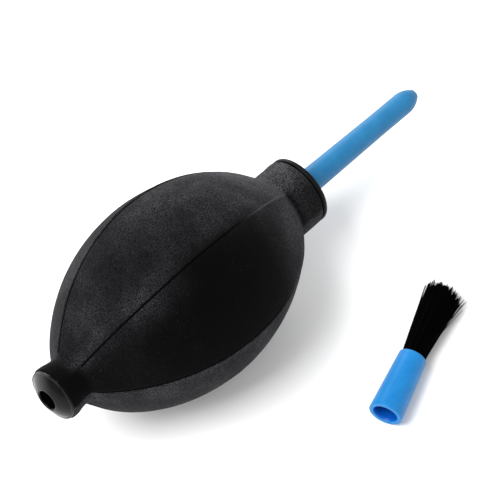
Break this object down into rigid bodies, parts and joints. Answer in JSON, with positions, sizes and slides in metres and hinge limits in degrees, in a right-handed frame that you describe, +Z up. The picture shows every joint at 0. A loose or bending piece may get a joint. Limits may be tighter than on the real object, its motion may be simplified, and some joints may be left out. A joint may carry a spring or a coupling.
{
  "type": "dust blower bulb",
  "caption": "Panelled rubber squeeze bulb with an inlet valve and a tapered blue nozzle, with its loose dusting brush beside it.",
  "frame": {"origin": "the point of the bench top under the centre of the bulb at its largest diameter; the bench top is z = 0", "axes": "+X is the way the nozzle points, seen from above; +Z is up; the brush lies on the -Y side"},
  "size_m": [0.1363, 0.0847, 0.0517],
  "materials": {
    "bulb_rubber": "matte moulded",
    "valve_plastic": "gloss",
    "disc_rubber": "smooth",
    "plug_plastic": "satin",
    "nozzle_blue": "satin",
    "ferrule_blue": "satin",
    "bristle_glue": "set glue",
    "bristle_black": "fine bristles"
  },
  "bodies": {
    "blower": {"bulb_body": "bulb_rubber", "valve_cap": "valve_plastic", "valve_cage": "valve_plastic", "nozzle_plug": "plug_plastic", "nozzle": "nozzle_blue"},
    "left_wall": {"squeeze_wall_left": "bulb_rubber"},
    "right_wall": {"squeeze_wall_right": "bulb_rubber"},
    "valve": {"valve_disc": "disc_rubber"},
    "brush": {"brush_ferrule": "ferrule_blue", "bristle_plug": "bristle_glue"},
    "bristles": {"bristle_tuft": "bristle_black"}
  },
  "joints": [
    {"name": "left_squeeze", "type": "slide", "parent": "blower", "child": "left_wall", "axis": [-0.0338, -0.9659, -0.2566], "range_m": [0, 0.008], "stiffness_N_per_m": 1500},
    {"name": "right_squeeze", "type": "slide", "parent": "blower", "child": "right_wall", "axis": [0.0338, 0.9659, 0.2566], "range_m": [0, 0.008], "stiffness_N_per_m": 1500},
    {"name": "inlet_valve_open", "type": "slide", "parent": "blower", "child": "valve", "axis": [0.9914, 0, -0.1305], "range_m": [0, 0.0008], "stiffness_N_per_m": 2},
    {"name": "brush_lift", "type": "slide", "parent": "blower", "child": "brush", "axis": [0, 0, 1], "range_m": [0, 0.05]},
    {"name": "bristle_lean", "type": "hinge", "parent": "brush", "child": "bristles", "pos_m": [0.03545, -0.04856, 0.00375], "axis": [0.0388, 0.0137, 0.9992], "range_deg": [-15, 15], "stiffness_Nm_per_rad": 0.003}
  ],
  "couplings": [
    {"joint": "right_squeeze", "follows": "left_squeeze", "ratio": 1}
  ]
}
